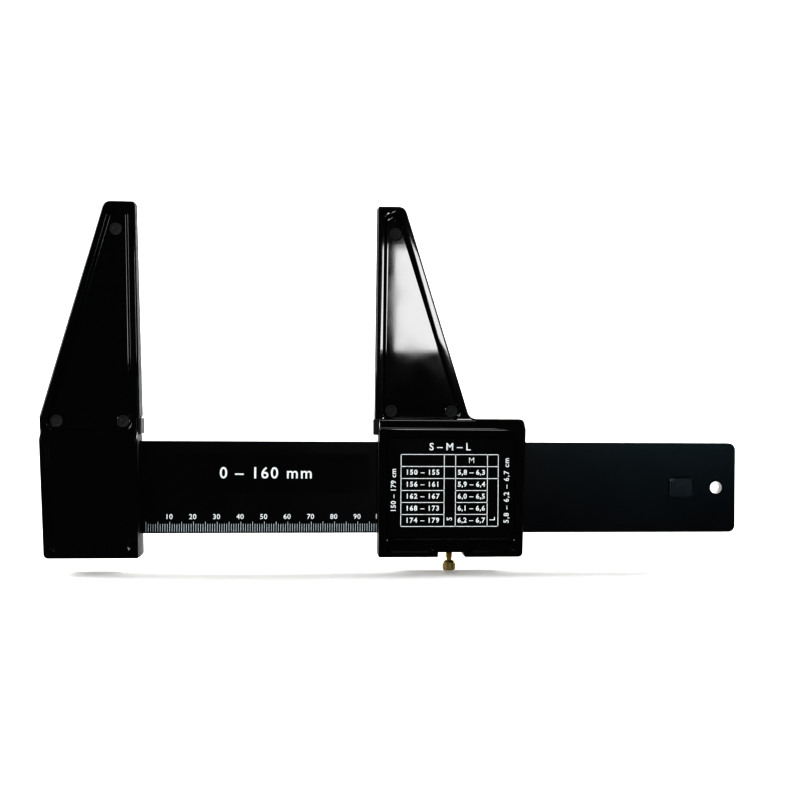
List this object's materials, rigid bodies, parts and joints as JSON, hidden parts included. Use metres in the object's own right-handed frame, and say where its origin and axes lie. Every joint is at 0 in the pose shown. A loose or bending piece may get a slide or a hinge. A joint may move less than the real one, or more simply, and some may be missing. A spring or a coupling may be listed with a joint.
{
  "type": "bone caliper",
  "caption": "Sliding bone caliper: flat scaled beam, fixed tapered jaw, sliding tapered jaw with a lock screw, for measuring the breadth of bones.",
  "frame": {"origin": "middle of the fixed measuring face, halfway through the caliper's thickness", "axes": "+X along the beam from the fixed jaw towards the free end; +Z towards the jaw tips; the printed front faces -Y"},
  "size_m": [0.3012, 0.017, 0.1579],
  "materials": {
    "beam_finish": "satin blue-black anodised bar",
    "shell": "glossy black moulded plastic",
    "pad": "dull black plastic, faced flat",
    "plate": "black printed plate",
    "stop": "black moulded plastic",
    "dark_screw": "blackened steel",
    "steel_pin": "ground steel",
    "acetal": "natural white acetal",
    "spring_steel": "tempered spring steel strip",
    "brass": "turned and knurled brass"
  },
  "bodies": {
    "frame": {"beam": "beam_finish", "fixed_jaw_front": "shell", "fixed_jaw_rear": "shell", "fixed_face_pad": "pad", "fixed_jaw_screws": "dark_screw", "beam_pins": "steel_pin", "end_stop_front": "stop", "end_stop_rear": "stop", "end_stop_rivets": "dark_screw"},
    "slider": {"slider_front": "shell", "slider_rear": "shell", "slider_face_pad": "pad", "slider_screws": "dark_screw", "chart_plate": "plate", "rear_plate": "plate", "upper_shoe_left": "acetal", "upper_shoe_right": "acetal", "lower_shoe_left": "acetal", "lower_shoe_right": "acetal", "friction_shoe": "acetal", "leaf_spring": "spring_steel", "lock_nut": "brass"},
    "clamp": {"clamp_pad": "brass"},
    "lock": {"lock_screw": "brass"}
  },
  "joints": [
    {"name": "slider_slide", "type": "slide", "parent": "frame", "child": "slider", "axis": [1, 0, 0], "range_m": [-0.0983, 0.0647]},
    {"name": "clamp_pad_slide", "type": "slide", "parent": "slider", "child": "clamp", "axis": [0, 0, 1], "range_m": [0, 0.00075]},
    {"name": "lock_screw_turn", "type": "hinge", "parent": "clamp", "child": "lock", "pos_m": [0.1319, 0, -0.06], "axis": [0, 0, 1], "range_deg": [0, 540.2]}
  ],
  "couplings": [
    {"joint": "lock_screw_turn", "follows": "clamp_pad_slide", "rad_per_m": 12566}
  ]
}
